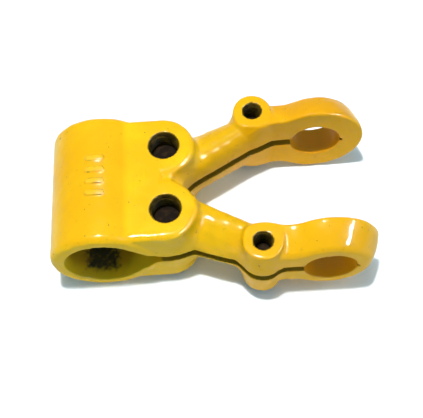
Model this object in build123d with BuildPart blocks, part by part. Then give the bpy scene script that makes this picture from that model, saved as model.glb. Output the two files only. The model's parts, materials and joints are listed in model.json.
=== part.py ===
"""Split clamp fork: one cast Y yoke, and the screws and lock washers that close its saw slot.

Millimetres. The origin is the centre of the big bore, +X runs along the fork to the small eyes,
+Y along the bores, and +Z up. The slot lies on z = 0, and the fork is a mirror image about y = 0.
"""
import os

from build123d import *

# Clamp head: the wide eye round the main shaft
HEAD_BORE_R = 21.0
HEAD_R = 28.5
HEAD_LENGTH = 76.0
HEAD_EDGE = 4.0

# Clamp lug: a block that ends in two round lobes, one round each clamp screw
LUG_HEIGHT = 24.5
LOBE_X = 35.4
LOBE_Y = 19.2
LOBE_R = 18.6
LUG_DRAFT = 2.5
LUG_EDGE = 4.0

# Arms: oval bars that spread from the lug to the bosses
ARM_ROOT_X = 28.0
ARM_INNER_SLOPE = 0.578
ARM_CROTCH_X = 39.0
ARM_OUTER_SLOPE = 0.335
ARM_OUTER_START = (48.0, 34.6)
ARM_HEIGHT = 18.0
ARM_CORNER = 12.0
ARM_STATIONS = (50.0, 66.0)

# Pinch bosses: one on each arm
BOSS_X = 84.8
BOSS_Y = 39.7
BOSS_R = 12.4
BOSS_HEIGHT = 21.7
BOSS_DRAFT = 5.0
BOSS_EDGE = 1.5

# Small eyes at the arm ends, and the necks that carry them
EYE_X = 120.5
EYE_BORE_R = 14.0
EYE_R = 27.3
EYE_DRAFT = 9.0
EYE_INNER = 31.1
EYE_OUTER = 47.6
EYE_INNER_EDGE = 1.5
EYE_OUTER_EDGE = 6.0
NECK_START_X = 96.0
NECK_HEIGHT = 21.5
NECK_INNER_EDGE = 1.5
NECK_OUTER_EDGE = 8.0

# Saw slot, the flare where it opens into the big bore, and its run-out past the small bores
SLOT = 5.6
FLARE_X = (17.0, 27.0)
FLARE_HALF = 11.0
RUN_OUT = 1.5
RUN_OUT_HEIGHT = 2.0

# Screws: (thread radius, head radius, head height, length, socket across flats, socket depth)
CLAMP_SCREW = (8.0, 12.0, 9.0, 30.0, 12.0, 5.0)
PINCH_SCREW = (5.0, 8.0, 6.0, 25.0, 7.0, 3.5)
# Lock washers: (inner radius, outer radius, thickness)
CLAMP_WASHER = (8.3, 12.0, 3.5)
PINCH_WASHER = (5.2, 8.0, 2.5)
WASHER_GAP = 1.6
# Heights of the seats that the washers bear on, under the lower half
CLAMP_SEAT = -13.5
PINCH_SEAT = -13.2
# Screw holes: (threaded radius above the slot, clear radius below it, counterbore radius)
CLAMP_HOLE = (8.08, 8.75, 12.9)
PINCH_HOLE = (5.08, 5.5, 8.5)

# Raised marks cast on the crown of the head: plain bars
MARK_X = -1.5
MARK_LENGTH = 9.0
MARK_WIDTH = 2.4
MARK_PITCH = 7.0
MARK_COUNT = 4
MARK_RISE = 0.6


def arm_edges(x):
    """Inner and outer edge of an arm at the slot, where it crosses x."""
    inner = (x - ARM_CROTCH_X) * ARM_INNER_SLOPE
    outer = ARM_OUTER_START[1] + (x - ARM_OUTER_START[0]) * ARM_OUTER_SLOPE
    return inner, outer


# Clamp head: a plain round barrel with rounded ends
with BuildPart() as head:
    with BuildSketch(Plane.XZ):
        Circle(HEAD_R)
    extrude(amount=HEAD_LENGTH / 2, both=True)
    fillet(head.edges().filter_by(GeomType.CIRCLE), radius=HEAD_EDGE)

# Clamp lug: straight sides tangent to the two lobes, with a cleft between the lobes
with BuildPart() as lug:
    with BuildSketch(Plane.XY):
        with Locations((LOBE_X / 2, 0)):
            Rectangle(LOBE_X, 2 * (LOBE_Y + LOBE_R))
        with Locations((LOBE_X, LOBE_Y), (LOBE_X, -LOBE_Y)):
            Circle(LOBE_R)
    extrude(amount=LUG_HEIGHT, taper=LUG_DRAFT)
    fillet(lug.faces().sort_by(Axis.Z)[-1].edges().sort_by(Axis.X)[1:], radius=LUG_EDGE)
    mirror(about=Plane.XY)

# Pinch boss: drafted both ways from the slot
with BuildPart() as boss:
    with BuildSketch(Plane.XY):
        with Locations((BOSS_X, BOSS_Y)):
            Circle(BOSS_R)
    extrude(amount=BOSS_HEIGHT, taper=BOSS_DRAFT)
    mirror(about=Plane.XY)
    fillet(boss.faces().sort_by(Axis.Z)[-1].edges(), radius=BOSS_EDGE)
    fillet(boss.faces().sort_by(Axis.Z)[0].edges(), radius=BOSS_EDGE)

# Small eye: a drafted disc, square inside the fork and well rounded outside
with BuildPart() as eye:
    with BuildSketch(Plane.XZ.offset(-EYE_INNER)):
        with Locations((EYE_X, 0)):
            Circle(EYE_R)
    extrude(amount=EYE_INNER - EYE_OUTER, taper=EYE_DRAFT)
    fillet(eye.edges().filter_by(GeomType.CIRCLE).sort_by(Axis.Y)[-1], radius=EYE_OUTER_EDGE)
    fillet(eye.edges().filter_by(GeomType.CIRCLE).sort_by(Axis.Y)[0], radius=EYE_INNER_EDGE)

# Neck section: square inside the fork, rounded outside
with BuildSketch(Plane.YZ.offset(NECK_START_X)) as neck_section:
    with Locations(((EYE_INNER + EYE_OUTER) / 2, 0)):
        Rectangle(EYE_OUTER - EYE_INNER, 2 * NECK_HEIGHT)
    fillet(neck_section.vertices().group_by(Axis.X)[0], radius=NECK_INNER_EDGE)
    fillet(neck_section.vertices().group_by(Axis.X)[-1], radius=NECK_OUTER_EDGE)

# Arm: an oval bar from the lug to the boss that squares up into the neck
with BuildPart() as arm:
    for station in (ARM_ROOT_X, *ARM_STATIONS):
        inner, outer = arm_edges(station)
        with BuildSketch(Plane.YZ.offset(station)):
            with Locations(((inner + outer) / 2, 0)):
                RectangleRounded(outer - inner, 2 * ARM_HEIGHT, ARM_CORNER)
    add(neck_section.sketch)
    loft()

with BuildPart() as neck:
    extrude(neck_section.sketch, amount=EYE_X - NECK_START_X - EYE_BORE_R / 2, dir=(1, 0, 0))

with BuildPart() as fork_casting:
    add(head)
    add(lug)
    for feature in (arm, neck, boss, eye):
        add(feature)
        add(feature.part.mirror(Plane.XZ))
    # Raised marks on the crown of the head
    with BuildSketch(Plane.XY):
        with Locations((MARK_X, 0)):
            with GridLocations(1, MARK_PITCH, 1, MARK_COUNT):
                SlotOverall(MARK_LENGTH, MARK_WIDTH)
    extrude(amount=HEAD_R + MARK_RISE)
    # Main bore and its flare into the slot
    with BuildSketch(Plane.XZ):
        Circle(HEAD_BORE_R)
        with BuildLine():
            Polyline(
                (FLARE_X[0], FLARE_HALF),
                (FLARE_X[1], SLOT / 2),
                (FLARE_X[1], -SLOT / 2),
                (FLARE_X[0], -FLARE_HALF),
                (FLARE_X[0], FLARE_HALF),
            )
        make_face()
    extrude(amount=HEAD_LENGTH, both=True, mode=Mode.SUBTRACT)
    # Small bores
    with BuildSketch(Plane.XZ):
        with Locations((EYE_X, 0)):
            Circle(EYE_BORE_R)
    extrude(amount=HEAD_LENGTH, both=True, mode=Mode.SUBTRACT)
    # Saw slot from the big bore to the small bores, and its run-out
    with BuildSketch(Plane.XY):
        with Locations((EYE_X / 2, 0)):
            Rectangle(EYE_X, 2 * HEAD_LENGTH)
    extrude(amount=SLOT / 2, both=True, mode=Mode.SUBTRACT)
    with BuildSketch(Plane.XY):
        with Locations((EYE_X + (EYE_BORE_R + RUN_OUT) / 2, 0)):
            Rectangle(EYE_BORE_R + RUN_OUT, 2 * HEAD_LENGTH)
    extrude(amount=RUN_OUT_HEIGHT / 2, both=True, mode=Mode.SUBTRACT)
    # Screw holes: threaded above the slot, clear below it, counterbored from underneath
    for x, y, hole, seat in (
        (LOBE_X, LOBE_Y, CLAMP_HOLE, CLAMP_SEAT),
        (BOSS_X, BOSS_Y, PINCH_HOLE, PINCH_SEAT),
    ):
        for start, depth, radius in (
            (0, HEAD_R, hole[0]),
            (-HEAD_R, HEAD_R, hole[1]),
            (-2 * HEAD_R, 2 * HEAD_R + seat, hole[2]),
        ):
            with BuildSketch(Plane.XY.offset(start)):
                with Locations((x, y), (x, -y)):
                    Circle(radius)
            extrude(amount=depth, mode=Mode.SUBTRACT)

fork_casting.part.label = "fork_casting"


def cap_screw(sizes, x, y, seat):
    """Low-head socket cap screw that stands up from its seat."""
    thread_r, head_r, head_height, length, socket, socket_depth = sizes
    with BuildPart() as screw:
        with BuildSketch(Plane.XY.offset(seat - head_height)):
            with Locations((x, y)):
                Circle(head_r)
        extrude(amount=head_height)
        fillet(screw.faces().sort_by(Axis.Z)[0].edges(), radius=1.0)
        with BuildSketch(Plane.XY.offset(seat)):
            with Locations((x, y)):
                Circle(thread_r)
        extrude(amount=length)
        chamfer(screw.faces().sort_by(Axis.Z)[-1].edges(), length=1.0)
        with BuildSketch(Plane.XY.offset(seat - head_height)):
            with Locations((x, y)):
                RegularPolygon(socket / 2, 6, major_radius=False)
        extrude(amount=socket_depth, mode=Mode.SUBTRACT)
    return screw


def lock_washer(sizes, x, y, seat):
    """Split spring washer, pressed flat under its screw head."""
    inner_r, outer_r, thickness = sizes
    with BuildPart() as washer:
        with BuildSketch(Plane.XY.offset(seat - thickness)):
            with Locations((x, y)):
                Circle(outer_r)
                Circle(inner_r, mode=Mode.SUBTRACT)
        extrude(amount=thickness)
        with BuildSketch(Plane.XZ.offset(-y)):
            with BuildLine():
                Polyline(
                    (x + WASHER_GAP, seat),
                    (x + 2 * WASHER_GAP, seat),
                    (x, seat - thickness),
                    (x - WASHER_GAP, seat - thickness),
                    (x + WASHER_GAP, seat),
                )
            make_face()
        extrude(amount=-outer_r if y > 0 else outer_r, mode=Mode.SUBTRACT)
    return washer


hardware = {}
for side, sign in (("far", 1), ("near", -1)):
    for kind, x, y, screw_sizes, washer_sizes, seat in (
        ("clamp", LOBE_X, LOBE_Y, CLAMP_SCREW, CLAMP_WASHER, CLAMP_SEAT),
        ("pinch", BOSS_X, BOSS_Y, PINCH_SCREW, PINCH_WASHER, PINCH_SEAT),
    ):
        washer_bottom = seat - washer_sizes[2]
        screw = cap_screw(screw_sizes, x, sign * y, washer_bottom)
        hardware[f"{side}_{kind}_screw"] = screw
        hardware[f"{side}_{kind}_washer"] = lock_washer(washer_sizes, x, sign * y, seat)

os.makedirs("parts", exist_ok=True)
export_step(fork_casting.part, "parts/fork_casting.step")
for name, piece in hardware.items():
    piece.part.label = name
    export_step(piece.part, f"parts/{name}.step")
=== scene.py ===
"""Looks of the split clamp fork: a painted casting, its screws and washers, floor, light and camera."""
import json
from math import cos, pi, radians, sin, tan

import bpy
import numpy as np
from mathutils import Matrix, Vector


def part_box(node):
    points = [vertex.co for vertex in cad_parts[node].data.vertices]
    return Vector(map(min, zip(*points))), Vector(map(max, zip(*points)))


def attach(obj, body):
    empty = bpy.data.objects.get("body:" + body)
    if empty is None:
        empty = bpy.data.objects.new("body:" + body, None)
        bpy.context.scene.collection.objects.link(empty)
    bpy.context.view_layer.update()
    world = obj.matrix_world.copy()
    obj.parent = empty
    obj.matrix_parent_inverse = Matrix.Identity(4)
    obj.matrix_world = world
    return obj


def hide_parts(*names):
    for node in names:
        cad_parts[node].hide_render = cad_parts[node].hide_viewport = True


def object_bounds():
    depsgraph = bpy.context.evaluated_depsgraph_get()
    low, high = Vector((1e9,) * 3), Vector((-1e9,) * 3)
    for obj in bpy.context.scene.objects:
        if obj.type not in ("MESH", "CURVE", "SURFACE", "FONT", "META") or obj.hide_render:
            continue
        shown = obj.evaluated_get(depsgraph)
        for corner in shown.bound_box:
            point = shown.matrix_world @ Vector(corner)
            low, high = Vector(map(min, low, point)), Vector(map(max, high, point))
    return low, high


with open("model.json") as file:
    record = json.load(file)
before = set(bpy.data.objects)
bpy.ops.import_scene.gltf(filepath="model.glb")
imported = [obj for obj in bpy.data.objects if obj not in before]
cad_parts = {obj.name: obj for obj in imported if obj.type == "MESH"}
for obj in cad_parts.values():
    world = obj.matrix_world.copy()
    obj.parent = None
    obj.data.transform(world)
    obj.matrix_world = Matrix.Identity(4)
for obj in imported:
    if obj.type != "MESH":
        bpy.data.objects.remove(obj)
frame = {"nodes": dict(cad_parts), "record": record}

cad_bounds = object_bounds()
MM = 0.001

# ---------------------------------------------------------------- sizes, in millimetres
mounts = {m["name"]: m for m in frame["record"]["mounts"]}
BORE_R = mounts["main_bore"]["dims"]["r_mm"]
HEAD_HALF = mounts["main_bore"]["dims"]["length_mm"] / 2
EYE_BORE_R = mounts["eye_bores"]["dims"]["r_mm"]
EYE_X = mounts["eye_bores"]["pos_m"][0] / MM
EYE_OUTER = mounts["eye_bores"]["dims"]["length_mm"] / 2
clamp_low, clamp_high = (np.array(corner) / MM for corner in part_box("far_clamp_screw"))
pinch_low, pinch_high = (np.array(corner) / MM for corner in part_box("far_pinch_screw"))
LOBE_X, LOBE_Y = ((clamp_low + clamp_high) / 2)[:2]
BOSS_X, BOSS_Y = ((pinch_low + pinch_high) / 2)[:2]

HEAD_R, HEAD_EDGE = 28.5, 4.0
LUG_X, LUG_HEIGHT, LUG_EDGE, LUG_DRAFT = LOBE_X - 1.0, 24.5, 3.0, radians(1.5)
LOBE_R, CLEFT_R, CLEFT_SLOPE, CLEFT_DEPTH = 18.0, 6.0, 0.6, 12
ARM_ROOT_X, CROTCH_X, CROTCH_R = 28.0, 39.0, 5.0
INNER_SLOPE, OUTER_SLOPE, MEAN_SLOPE = radians(30.0), radians(18.5), radians(24.0)
OUTER_X, OUTER_Y = 48.0, 34.6
BOSS_R, BOSS_HEIGHT, BOSS_DRAFT, BOSS_EDGE = 12.4, 21.7, radians(5.0), 1.2
BOSS_FILLET, BOSS_REACH = 3.0, 13
EYE_R, EYE_INNER, EYE_CROWN, EYE_EDGE = 27.3, 31.0, 6.5, 2.5
ARM_HEIGHT, ARM_RIDGE, ARM_INNER_OVAL, ARM_OUTER_OVAL = 18.0, 9.0, 2.3, 1.8
NECK_HEIGHT, NECK_ARC = 21.3, 16.0
NECK_INNER_FILLET, NECK_INNER_EDGE, NECK_OUTER_EDGE, CROWN_POWER = 3.0, 1.5, 4.0, 1.6
# The arm's height along x, and where its oval section turns into the square neck
RISE_X, RISE_HEIGHT = (60, 82, 94), (ARM_HEIGHT, NECK_HEIGHT - 1.8, NECK_HEIGHT)
OVAL_END_X, NECK_START_X = 78, 93
SLOT, FLARE_R = 5.6, 13.0
RUN_OUT, RUN_OUT_HEIGHT = 1.5, 2.0
CAST_FILLET, HEAD_FILLET = 4.0, 0.9
BORE_EDGE, HOLE_EDGE = 0.4, 0.8
RIPPLE = 0.06
GRID_STEP, GRID_MARGIN = 0.8, 1.7
MARK_X, MARK_Y, MARK_PITCH, MARK_COUNT = -1.4, 1.0, 7.0, 4
MARK_LENGTH, MARK_WIDTH, MARK_RISE, MARK_EDGE, MARK_FILLET = 10.0, 3.0, 0.9, 0.5, 0.6
# Screw holes: (x, y, threaded radius, clear radius, counterbore radius, seat height)
CLAMP_HOLE = (LOBE_X, LOBE_Y, 8.08, 8.75, 12.9, -13.5)
PINCH_HOLE = (BOSS_X, BOSS_Y, 5.08, 5.5, 8.5, -13.2)
# Screws: (thread radius, pitch, thread depth, head height, socket across flats, socket depth)
CLAMP_SCREW = (8.0, 2.0, 1.0, 9.0, 12.0, 5.0)
PINCH_SCREW = (5.0, 1.5, 0.75, 6.0, 7.0, 3.5)
# The share of a screw between head and tip that has no thread
SCREW_PLAIN_SHARE = 0.28
# Open thread in the tapped holes: (radius, pitch, depth), its depth under the mouth and its gap to the screw
CLAMP_THREAD, PINCH_THREAD = (8.1, 2.0, 0.8), (5.1, 1.5, 0.6)
THREAD_SINK, THREAD_GAP = 0.9, 0.3
# The bare patch low in the big bore: its middle along x, and half its size along x and y
BARE_X, BARE_HALF_X, BARE_HALF_Y = -3, 9, 32
# The angles of every turned section, all the way round
TURN = np.arange(96) * 2 * pi / 96


# ---------------------------------------------------------------- the casting as a distance field
def join(a, b, r):
    """Both solids together, with a fillet of radius r where they meet."""
    return np.maximum(r, np.minimum(a, b)) - np.hypot(np.maximum(r - a, 0), np.maximum(r - b, 0))


def meet(a, b, r):
    """What two solids share, with its edge rounded to radius r."""
    return np.minimum(-r, np.maximum(a, b)) + np.hypot(np.maximum(r + a, 0), np.maximum(r + b, 0))


def fade(value, low, high):
    """0 below low and 1 above high, with a smooth change between."""
    share = np.clip((value - low) / (high - low), 0, 1)
    return share * share * (3 - 2 * share)


def head(x, y, z):
    """The barrel round the big bore."""
    return meet(np.hypot(x, z) - HEAD_R, y - HEAD_HALF, HEAD_EDGE)


def lug(x, y, z):
    """The block in front of the head, with its two round lobes and the cleft between them."""
    radius = LOBE_R - z * tan(LUG_DRAFT)
    own = np.hypot(x - LUG_X, y - LOBE_Y) - radius
    other = np.hypot(x - LUG_X, y + LOBE_Y) - radius
    block = np.maximum(x - LUG_X, y - LOBE_Y - radius)
    cleft_r = CLEFT_R + CLEFT_SLOPE * np.clip(LUG_HEIGHT - z, 0, CLEFT_DEPTH)
    plan = np.minimum(join(own, other, cleft_r), np.maximum(block, -x))
    return meet(plan, z - LUG_HEIGHT, LUG_EDGE)


def arm_profile(x, z):
    """Side view of the neck: a bar that rises through an arc into the round eye."""
    centre_z = NECK_HEIGHT + NECK_ARC
    back = np.sqrt((EYE_R + NECK_ARC) ** 2 - centre_z ** 2)
    centre_x = EYE_X - back
    bar = z - np.interp(x, RISE_X, RISE_HEIGHT)
    arc = NECK_ARC - np.hypot(x - centre_x, z - centre_z)
    disc = np.hypot(x - EYE_X, z) - EYE_R
    past_arc = (x - centre_x) * centre_z + (z - centre_z) * back > 0
    return np.where(x < centre_x, bar, np.where(past_arc, disc, arc))


def arm(x, y, z):
    """One arm: an oval bar that squares up into the neck and the crowned small eye."""
    inner_line = (x - CROTCH_X) * tan(INNER_SLOPE)
    outer_line = OUTER_Y + (x - OUTER_X) * tan(OUTER_SLOPE)
    width = (outer_line - inner_line) * cos(MEAN_SLOPE)
    across = (y - inner_line) * cos(MEAN_SLOPE) - ARM_RIDGE
    half = np.where(across > 0, width - ARM_RIDGE, ARM_RIDGE)
    height = np.interp(x, RISE_X[:2], RISE_HEIGHT[:2])
    power = np.where(across > 0, ARM_OUTER_OVAL, ARM_INNER_OVAL)
    oval = (((np.abs(across) / half) ** power + (z / height) ** power) ** (1 / power) - 1) * ARM_RIDGE
    inner = join((inner_line - y) * cos(INNER_SLOPE), EYE_INNER - y, NECK_INNER_FILLET)
    outer = meet((y - outer_line) * cos(OUTER_SLOPE), y - EYE_OUTER, NECK_OUTER_EDGE)
    crown = EYE_CROWN * (np.maximum(y - EYE_INNER, 0) / (EYE_OUTER - EYE_INNER)) ** CROWN_POWER
    top = arm_profile(x, z) + crown
    neck = np.maximum(meet(top, outer, EYE_EDGE), meet(top, inner, NECK_INNER_EDGE))
    share = fade(x, OVAL_END_X, NECK_START_X)
    return np.maximum(oval * (1 - share) + neck * share, ARM_ROOT_X - x)


def boss(x, y, z):
    """The drafted round boss that carries an arm's pinch screw."""
    side = np.hypot(x - BOSS_X, y - BOSS_Y) - BOSS_R + z * tan(BOSS_DRAFT)
    return meet(side, z - BOSS_HEIGHT, BOSS_EDGE)


def ripple(x, y, z):
    """The slow unevenness of a sand casting."""
    waves = sin_of(0.31, x, y, z, 0.0) + sin_of(0.47, y, z, x, 1.3) + sin_of(0.71, z, x, y, 2.1)
    return RIPPLE * waves


def sin_of(rate, a, b, c, phase):
    """One wave of the ripple."""
    return np.sin(rate * a + 0.7 * rate * b + phase) * np.cos(rate * c - phase)


def skin(x, y, z):
    """The rough casting before any hole is cut."""
    across, up = np.abs(y), np.abs(z)
    arms = join(arm(x, across, up), arm(x, -across, up), CROTCH_R)
    arms = join(arms, boss(x, across, up), BOSS_FILLET)
    arms = np.maximum(arms, up - BOSS_HEIGHT - np.maximum(np.abs(x - BOSS_X) - BOSS_REACH, 0))
    body = join(head(x, across, up), lug(x, across, up), HEAD_FILLET)
    body = np.maximum(body, across - HEAD_HALF - np.maximum(x - HEAD_R, 0))
    return join(body, arms, CAST_FILLET) + ripple(x, y, z)


def marks(x, y, z):
    """Plain raised bars on the crown of the head."""
    middle = (MARK_COUNT - 1) / 2
    row = np.clip(np.round((y - MARK_Y) / MARK_PITCH + middle), 0, MARK_COUNT - 1)
    across = y - MARK_Y - (row - middle) * MARK_PITCH
    along = np.maximum(np.abs(x - MARK_X) - (MARK_LENGTH - MARK_WIDTH) / 2, 0)
    raised = meet(np.hypot(along, across) - MARK_WIDTH / 2, np.hypot(x, z) - HEAD_R - MARK_RISE, MARK_EDGE)
    return np.maximum(raised, -z)


def bores(x, y, z):
    """The big bore, the small bores, the saw slot and its run-out."""
    big = np.hypot(x, z) - BORE_R
    small = np.hypot(x - EYE_X, z) - EYE_BORE_R
    slot = np.maximum(np.abs(z) - SLOT / 2, np.maximum(x - EYE_X, -x))
    end = EYE_X + EYE_BORE_R + RUN_OUT
    run_out = np.maximum(np.abs(z) - RUN_OUT_HEIGHT / 2, np.maximum(x - end, EYE_X - x))
    return np.minimum(np.minimum(join(big, slot, FLARE_R), small), run_out)


def screw_hole(x, y, z, hole):
    """A pair of stepped holes: tapped above the slot, clear below it, and sunk for the screw's head."""
    hole_x, hole_y, threaded, clear, sink, seat = hole
    out = np.hypot(x - hole_x, np.abs(y) - hole_y)
    upper = np.maximum(out - threaded, -z)
    lower = np.maximum(out - clear, z)
    return np.minimum(np.minimum(upper, lower), np.maximum(out - sink, z - seat))


def holes(x, y, z):
    return np.minimum(screw_hole(x, y, z, CLAMP_HOLE), screw_hole(x, y, z, PINCH_HOLE))


def casting(x, y, z):
    body = join(skin(x, y, z), marks(x, y, z), MARK_FILLET)
    body = meet(body, -bores(x, y, z), BORE_EDGE)
    return meet(body, -holes(x, y, z), HOLE_EDGE)


# ---------------------------------------------------------------- mesh from a distance field
def slope(field, p, step=0.05):
    """The field's gradient at each point."""
    rows = []
    for axis in np.eye(3) * step:
        rows.append((field(*(p + axis).T) - field(*(p - axis).T)) / (2 * step))
    return np.stack(rows, axis=1)


def surface_net(field, low, high, step):
    """Vertices and quads of the surface where the field is zero: one vertex in each cell it crosses."""
    axes = [np.arange(a, b + step, step) for a, b in zip(low, high)]
    grid = np.stack(np.meshgrid(*axes, indexing="ij"), axis=-1)
    value = np.concatenate([field(*np.moveaxis(slab, -1, 0))[None] for slab in grid])
    inside = value < 0
    total = np.zeros([n - 1 for n in value.shape] + [3])
    count = np.zeros(total.shape[:3])
    crossings = []
    for axis in range(3):
        first = np.take(value, range(value.shape[axis] - 1), axis)
        second = np.take(value, range(1, value.shape[axis]), axis)
        crossed = (first < 0) != (second < 0)
        share = np.where(crossed, first / np.where(crossed, first - second, 1), 0)
        start = np.take(grid, range(value.shape[axis] - 1), axis)
        point = start + share[..., None] * np.eye(3)[axis] * step
        point = point * crossed[..., None]
        b, c = [a for a in range(3) if a != axis]
        for shift_b in (0, 1):
            for shift_c in (0, 1):
                part = [slice(None)] * 3
                part[b] = slice(shift_b, value.shape[b] - 1 + shift_b)
                part[c] = slice(shift_c, value.shape[c] - 1 + shift_c)
                total += point[tuple(part)]
                count += crossed[tuple(part)]
        crossings.append(crossed)
    used = count > 0
    index = np.full(count.shape, -1)
    index[used] = np.arange(used.sum())
    vertices = total[used] / count[used][:, None]
    quads = []
    for axis, crossed in enumerate(crossings):
        b, c = (axis + 1) % 3, (axis + 2) % 3
        cells = np.argwhere(crossed)
        flip = inside[tuple(cells.T)]
        corners = []
        for shift_b, shift_c in ((1, 1), (0, 1), (0, 0), (1, 0)):
            cell = cells.copy()
            cell[:, b] -= shift_b
            cell[:, c] -= shift_c
            corners.append(index[tuple(cell.T)])
        quad = np.stack(corners, axis=1)
        quad[~flip] = quad[~flip][:, ::-1]
        quads.append(quad)
    return vertices, np.concatenate(quads)


def smooth_mesh(name, vertices, faces, material, normals=None):
    mesh = bpy.data.meshes.new(name)
    mesh.from_pydata((vertices * MM).tolist(), [], faces)
    mesh.shade_smooth()
    if normals is not None:
        mesh.normals_split_custom_set_from_vertices(normals.tolist())
    mesh.materials.append(material)
    piece = bpy.data.objects.new(name, mesh)
    bpy.context.scene.collection.objects.link(piece)
    return piece


def paint_attribute(piece, name, values):
    layer = piece.data.attributes.new(name, "FLOAT", "POINT")
    layer.data.foreach_set("value", np.clip(values, 0, 1).astype(np.float32))


def build_casting(material):
    """The casting's mesh, and the attributes that its paint is mixed by."""
    low, high = (np.array(corner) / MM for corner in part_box("fork_casting"))
    vertices, quads = surface_net(casting, low - GRID_MARGIN, high + GRID_MARGIN, GRID_STEP)
    # A few Newton steps put the vertices on the true surface.
    for _ in range(4):
        gradient = slope(casting, vertices)
        size = np.maximum((gradient ** 2).sum(1), 0.2)
        vertices -= gradient * (np.clip(casting(*vertices.T), -0.6, 0.6) / size)[:, None]
    normals = slope(casting, vertices)
    normals /= np.maximum(np.linalg.norm(normals, axis=1), 1e-6)[:, None]
    piece = smooth_mesh("painted_casting", vertices, quads.tolist(), material, normals)
    x, y, z = vertices.T
    # Both look for other metal in front of the surface and darken the paint there as painted shade: 3 mm out
    # for a hollow, 5 mm out for the slot.
    paint_attribute(piece, "recess_shade", 1 - casting(*(vertices + normals * 3.0).T) / 3.0)
    paint_attribute(piece, "slot", fade(1 - casting(*(vertices + normals * 5.0).T) / 5.0, 0.5, 0.85))
    in_bore = fade(0.55 - np.abs(bores(x, y, z)), 0, 0.3)
    paint_attribute(piece, "big_bore", in_bore * (1 - fade(x, 20, 38)))
    paint_attribute(piece, "small_bore", in_bore * fade(x, 95, 100))
    # Faces that don't face up get a darker, greener tint of the paint: painted shade. The same attribute
    # also raises the coat on upward faces.
    paint_attribute(piece, "upward", fade(normals[:, 2], 0.1, 0.55))
    # The raised bars' tops get a lighter tint of the paint, a painted highlight, and more coat.
    paint_attribute(piece, "mark", fade(-marks(x, y, z), -0.2, 0.3) * fade(z, 10, 20))
    paint_attribute(piece, "hole", fade(0.7 - np.abs(holes(x, y, z)), 0, 0.4))
    # Painted shade: a darker tint far inside the big bore, away from both its ends.
    paint_attribute(piece, "deep_shade", in_bore * (1 - fade(x, 8, 24)) * fade(-np.abs(y), -38, -24))
    bare = np.minimum(np.minimum(BARE_HALF_X - np.abs(x - BARE_X), BARE_HALF_Y - np.abs(y)), -z)
    paint_attribute(piece, "bare", in_bore * fade(bare, -4, 4))
    # Painted shade: a darker, redder tint on the tops of the far eye and of the head's left end, and at half
    # strength on the arms and everything further out.
    shade_tint = np.maximum(fade(x + y, 118, 152), 0.4 * fade(-x, -16, -12)) * fade(normals[:, 2], 0.4, 0.8)
    paint_attribute(piece, "shade_tint", np.maximum(shade_tint, 0.5 * fade(x, 45, 85)))
    return piece


def turned(rings, centre, capped=True):
    """Vertices and faces of a round body given as rings, each a height and a radius at every turn."""
    radii = np.array([radius * np.ones(len(TURN)) for _, radius in rings])
    heights = np.array([height * np.ones(len(TURN)) for height, _ in rings])
    vertices = np.stack((centre[0] + radii * np.cos(TURN), centre[1] + radii * np.sin(TURN), heights), -1)
    index = np.arange(radii.size).reshape(radii.shape)
    after = np.roll(index, -1, axis=1)
    faces = np.stack((index[:-1], after[:-1], after[1:], index[1:]), -1).reshape(-1, 4).tolist()
    if capped:
        faces += [index[0, ::-1].tolist(), index[-1].tolist()]
    return vertices.reshape(-1, 3), faces


def helix(height, pitch):
    """0 at the crest and 1 at the root of a right-hand thread, at every turn."""
    return 2 * np.abs((height / pitch - TURN / (2 * pi)) % 1 - 0.5)


def build_screw(node, sizes, material):
    """A socket screw, head down, with a cut thread."""
    thread_r, pitch, depth, head_height, socket, socket_depth = sizes
    low, high = (np.array(corner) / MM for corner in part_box(node))
    bottom, shoulder, tip = low[2], low[2] + head_height, high[2]
    head_r = (high[0] - low[0]) / 2
    hexagon = socket / 2 / np.cos((TURN + pi / 6) % (pi / 3) - pi / 6)
    knurl = head_r - 0.4 * (np.arange(len(TURN)) % 2)
    rings = [(bottom + socket_depth + 1.2, 0.3), (bottom + socket_depth, socket * 0.42),
             (bottom + socket_depth, hexagon), (bottom + 0.4, hexagon), (bottom, hexagon + 0.4),
             (bottom, head_r - 1.2), (bottom + 0.35, head_r - 0.35), (bottom + 1.2, head_r),
             (bottom + 1.5, knurl), (shoulder - 1.2, knurl), (shoulder - 0.9, head_r),
             (shoulder - 0.4, head_r), (shoulder, head_r - 0.4), (shoulder, thread_r + 0.5),
             (shoulder + 0.5, thread_r)]
    for height in np.arange(shoulder + SCREW_PLAIN_SHARE * (tip - shoulder), tip - depth, pitch / 8):
        rings.append((height, thread_r - depth * np.clip(1.25 * helix(height, pitch) - 0.125, 0, 1)))
    rings += [(tip - depth, thread_r - 0.3), (tip - 0.2, thread_r - depth - 0.1),
              (tip, thread_r - depth - 0.6)]
    vertices, faces = turned(rings, (low + high) / 2)
    piece = smooth_mesh(node + "_model", vertices, faces, material)
    piece.data.set_sharp_from_angle(angle=radians(35))
    return piece


def build_threads(material):
    """The thread left open above each screw tip, down the walls of the four tapped holes."""
    vertices, faces = [], []
    for x, y, (radius, pitch, depth), top, tip in (
            (LOBE_X, LOBE_Y, CLAMP_THREAD, LUG_HEIGHT, clamp_high[2]),
            (BOSS_X, BOSS_Y, PINCH_THREAD, BOSS_HEIGHT, pinch_high[2])):
        mouth, end = top - THREAD_SINK, tip + THREAD_GAP
        for side in (-1, 1):
            rings = []
            for height in np.arange(mouth, end, -pitch / 8):
                ease = min((mouth - height) / pitch, (height - end) / 0.5, 1)
                rings.append((height, radius - depth * ease * helix(height, pitch)))
            points, quads = turned(rings, (x, side * y), capped=False)
            faces += (np.array(quads) + sum(len(group) for group in vertices)).tolist()
            vertices.append(points)
    return smooth_mesh("tapped_threads", np.concatenate(vertices), faces, material)


# ---------------------------------------------------------------- materials
def new_material(name, **values):
    """A material with constants set on its shader; an underscore stands for a space in a socket's name."""
    material = bpy.data.materials.new(name)
    material.use_nodes = True
    nodes = material.node_tree.nodes
    shader = nodes["Principled BSDF"]
    for socket, value in values.items():
        shader.inputs[socket.replace("_", " ")].default_value = value
    return material, nodes, material.node_tree.links, shader


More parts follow.
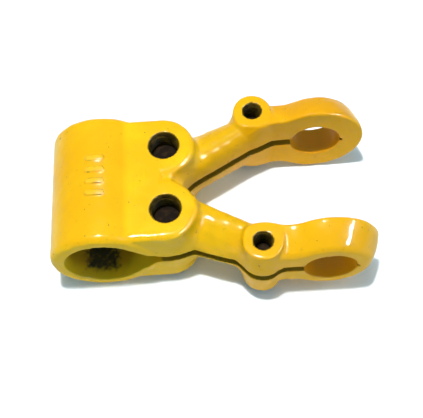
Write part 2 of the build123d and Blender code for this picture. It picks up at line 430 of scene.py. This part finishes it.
def noise(nodes, links, place, scale, detail=3.0):
    texture = nodes.new("ShaderNodeTexNoise")
    texture.inputs["Scale"].default_value = scale
    texture.inputs["Detail"].default_value = detail
    links.new(place, texture.inputs["Vector"])
    return texture.outputs["Fac"]


def ramp(nodes, links, value, low, high):
    """0 below low and 1 above high."""
    node = nodes.new("ShaderNodeMapRange")
    node.interpolation_type = "SMOOTHSTEP"
    node.inputs["From Min"].default_value = low
    node.inputs["From Max"].default_value = high
    links.new(value, node.inputs["Value"])
    return node.outputs["Result"]


def colour_mix(nodes, links, factor, first, second):
    """A Mix node for colours, whose factor and colours may be sockets or plain values."""
    node = nodes.new("ShaderNodeMix")
    node.data_type = "RGBA"
    for socket, value in ((node.inputs[0], factor), (node.inputs[6], first), (node.inputs[7], second)):
        if isinstance(value, bpy.types.NodeSocket):
            links.new(value, socket)
        else:
            socket.default_value = value
    return node.outputs[2]


def maths(nodes, links, kind, *values):
    node = nodes.new("ShaderNodeMath")
    node.operation = kind
    for socket, value in zip(node.inputs, values):
        if isinstance(value, bpy.types.NodeSocket):
            links.new(value, socket)
        else:
            socket.default_value = value
    return node.outputs[0]


def object_place(nodes):
    return nodes.new("ShaderNodeTexCoord").outputs["Object"]


def attribute(nodes, name):
    node = nodes.new("ShaderNodeAttribute")
    node.attribute_name = name
    return node.outputs["Fac"]


def yellow_paint():
    """Glossy yellow paint, tinted part by part, with painted shade and a painted highlight among the tints,
    small chips and a bare patch in the big bore.
    """
    material, nodes, links, shader = new_material("yellow_paint", Coat_Roughness=0.06,
                                                  Specular_IOR_Level=0.03)
    place = object_place(nodes)
    colour = colour_mix(nodes, links, ramp(nodes, links, noise(nodes, links, place, 45.0), 0.35, 0.65),
                        (0.90, 0.45, 0.003, 1), (0.94, 0.51, 0.004, 1))
    # Each tint starts where its attribute passes low, and is full at high. The darker, greener tint on faces
    # that don't face up, the darker, redder tint towards the far eye, the head's left end and the arms, and
    # the darkening in hollows, in the slot and far inside the big bore are painted shade; the lighter tint
    # on the raised bars is a painted highlight.
    for name, low, high, tint in (("upward", 1.0, 0.0, (0.75, 0.43, 0.004, 1)),
                                  ("shade_tint", 0.0, 1.0, (0.81, 0.35, 0.003, 1)),
                                  ("recess_shade", 0.25, 0.85, (0.60, 0.33, 0.003, 1)),
                                  ("big_bore", 0.0, 1.0, (0.72, 0.47, 0.012, 1)),
                                  ("deep_shade", 0.0, 1.0, (0.42, 0.25, 0.010, 1)),
                                  ("small_bore", 0.0, 1.0, (0.74, 0.32, 0.006, 1)),
                                  ("mark", 0.0, 1.0, (0.96, 0.62, 0.03, 1)),
                                  ("slot", 0.0, 1.0, (0.37, 0.22, 0.014, 1)),
                                  ("hole", 0.0, 1.0, (0.12, 0.07, 0.006, 1))):
        share = ramp(nodes, links, attribute(nodes, name), low, high)
        colour = colour_mix(nodes, links, share, colour, tint)
    ragged = maths(nodes, links, "MULTIPLY_ADD", noise(nodes, links, place, 420.0, 5.0), 1.6, -0.8)
    ragged = maths(nodes, links, "ADD", ragged, attribute(nodes, "bare"))
    bare = ramp(nodes, links, ragged, 0.15, 1.05)
    colour = colour_mix(nodes, links, bare, colour, (0.035, 0.034, 0.018, 1))
    chips = ramp(nodes, links, noise(nodes, links, place, 520.0, 1.0), 0.77, 0.81)
    colour = colour_mix(nodes, links, chips, colour, (0.16, 0.10, 0.02, 1))
    links.new(colour, shader.inputs["Base Color"])
    gloss = maths(nodes, links, "MULTIPLY_ADD", attribute(nodes, "upward"), 0.18, 0.10)
    gloss = maths(nodes, links, "MULTIPLY_ADD", attribute(nodes, "mark"), 0.7, gloss)
    links.new(gloss, shader.inputs["Coat Weight"])
    roughness = nodes.new("ShaderNodeMapRange")
    roughness.inputs["To Min"].default_value = 0.28
    roughness.inputs["To Max"].default_value = 0.42
    links.new(noise(nodes, links, place, 160.0), roughness.inputs["Value"])
    links.new(roughness.outputs["Result"], shader.inputs["Roughness"])
    lumps = maths(nodes, links, "MULTIPLY", noise(nodes, links, place, 130.0, 1.0), 2.0)
    peel = maths(nodes, links, "ADD", noise(nodes, links, place, 650.0, 2.0), lumps)
    bump = nodes.new("ShaderNodeBump")
    bump.inputs["Strength"].default_value = 0.3
    bump.inputs["Distance"].default_value = 0.00022
    links.new(peel, bump.inputs["Height"])
    links.new(bump.outputs["Normal"], shader.inputs["Normal"])
    links.new(bump.outputs["Normal"], shader.inputs["Coat Normal"])
    return material


def black_steel():
    """Blackened steel, darker and browner at the threaded tips."""
    material, nodes, links, shader = new_material("black_steel", Specular_IOR_Level=0.08)
    place = object_place(nodes)
    height = nodes.new("ShaderNodeSeparateXYZ")
    links.new(place, height.inputs["Vector"])
    worn = ramp(nodes, links, noise(nodes, links, place, 300.0), 0.45, 0.75)
    colour = colour_mix(nodes, links, worn, (0.012, 0.011, 0.010, 1), (0.04, 0.036, 0.03, 1))
    tip_colour = colour_mix(nodes, links, worn, (0.010, 0.005, 0.002, 1), (0.032, 0.017, 0.005, 1))
    colour = colour_mix(nodes, links, ramp(nodes, links, height.outputs["Z"], 0.005, 0.009), colour, tip_colour)
    links.new(colour, shader.inputs["Base Color"])
    links.new(ramp(nodes, links, noise(nodes, links, place, 700.0), -1.0, 0.9), shader.inputs["Roughness"])
    return material


def bare_thread():
    """Dark brown cut threads in the tapped holes."""
    material, nodes, links, shader = new_material("bare_thread", Roughness=0.35, Specular_IOR_Level=0.04)
    place = object_place(nodes)
    stain = ramp(nodes, links, noise(nodes, links, place, 250.0), 0.35, 0.65)
    links.new(colour_mix(nodes, links, stain, (0.055, 0.030, 0.005, 1), (0.15, 0.085, 0.012, 1)),
              shader.inputs["Base Color"])
    return material


def zinc_steel():
    """Plated steel of the lock washers."""
    material, nodes, links, shader = new_material("zinc_steel", Metallic=1.0)
    place = object_place(nodes)
    spangle = ramp(nodes, links, noise(nodes, links, place, 500.0), 0.4, 0.6)
    links.new(colour_mix(nodes, links, spangle, (0.45, 0.45, 0.44, 1), (0.6, 0.6, 0.58, 1)),
              shader.inputs["Base Color"])
    links.new(ramp(nodes, links, noise(nodes, links, place, 900.0), -0.3, 1.6), shader.inputs["Roughness"])
    return material


# ---------------------------------------------------------------- floor, light and camera
def build_floor():
    mesh = bpy.data.meshes.new("floor")
    floor_z, reach = cad_bounds[0][2] - 0.0001, 4.0
    mesh.from_pydata([(-reach, -reach, floor_z), (reach, -reach, floor_z), (reach, reach, floor_z),
                      (-reach, reach, floor_z)], [], [(0, 1, 2, 3)])
    floor = bpy.data.objects.new("floor", mesh)
    bpy.context.scene.collection.objects.link(floor)
    material, *_, shader = new_material("floor", Roughness=0.8, Base_Color=(0.90, 0.93, 0.94, 1))
    mesh.materials.append(material)


def softbox(name, position, target, size, power, glossy=False):
    """A round or oval lamp that lights surfaces, or with glossy only shows in their shine."""
    lamp = bpy.data.lights.new(name, "AREA")
    lamp.shape = "ELLIPSE"
    lamp.size, lamp.size_y = size
    lamp.energy = power
    holder = bpy.data.objects.new(name, lamp)
    holder.location = position
    holder.visible_diffuse, holder.visible_glossy = not glossy, glossy
    aim = Vector(target) - Vector(position)
    holder.rotation_euler = aim.to_track_quat("-Z", "Y").to_euler()
    bpy.context.scene.collection.objects.link(holder)


def build_light():
    world = bpy.data.worlds.new("studio")
    bpy.context.scene.world = world
    world.use_nodes = True
    background = world.node_tree.nodes["Background"]
    background.inputs["Color"].default_value = (0.40, 0.76, 1.0, 1)
    background.inputs["Strength"].default_value = 0.42
    target = (0.06, 0, 0)
    softbox("key", (0.0, 0.02, 1.1), target, (0.4, 0.4), 2.6)
    softbox("spot", (-0.01, -0.01, 1.05), target, (0.05, 0.05), 9.1)
    softbox("glint", (-0.06, 0.04, 1.05), target, (0.14, 0.14), 30.0, glossy=True)
    softbox("side_glint", (0.96, -0.30, 0.72), target, (1.1, 0.06), 80.0, glossy=True)


def build_camera():
    azimuth, elevation, roll = radians(0.588), radians(62.79), radians(-4.006)
    distance, aim = 0.46822, Vector((0.05918, -0.00872, 0.0))
    back = Vector((sin(azimuth) * cos(elevation), -cos(azimuth) * cos(elevation), sin(elevation)))
    right = (-back).cross(Vector((0, 0, 1))).normalized()
    up = right.cross(-back)
    lens = bpy.data.cameras.new("camera")
    lens.sensor_width = 36.0
    lens.lens = 72.34
    lens.clip_start, lens.clip_end = 0.01, 20.0
    camera = bpy.data.objects.new("camera", lens)
    side, top = cos(roll) * right + sin(roll) * up, cos(roll) * up - sin(roll) * right
    turn = Matrix((side, top, back)).transposed()
    camera.matrix_world = Matrix.Translation(aim + back * distance) @ turn.to_4x4()
    bpy.context.scene.collection.objects.link(camera)
    bpy.context.scene.camera = camera


bpy.context.scene.view_settings.view_transform = "Standard"
paint, black, zinc = yellow_paint(), black_steel(), zinc_steel()
body = build_casting(paint)
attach(body, "casting")
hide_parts("fork_casting")
threads = build_threads(bare_thread())
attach(threads, "casting")
for node in frame["nodes"]:
    if node.endswith("_screw"):
        screw = build_screw(node, CLAMP_SCREW if "clamp" in node else PINCH_SCREW, black)
        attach(screw, node)
        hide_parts(node)
for node, part in frame["nodes"].items():
    part.data.materials.clear()
    if node.endswith("_screw"):
        part.data.materials.append(black)
    elif node.endswith("_washer"):
        part.data.materials.append(zinc)
    else:
        part.data.materials.append(paint)
build_floor()
build_light()
build_camera()
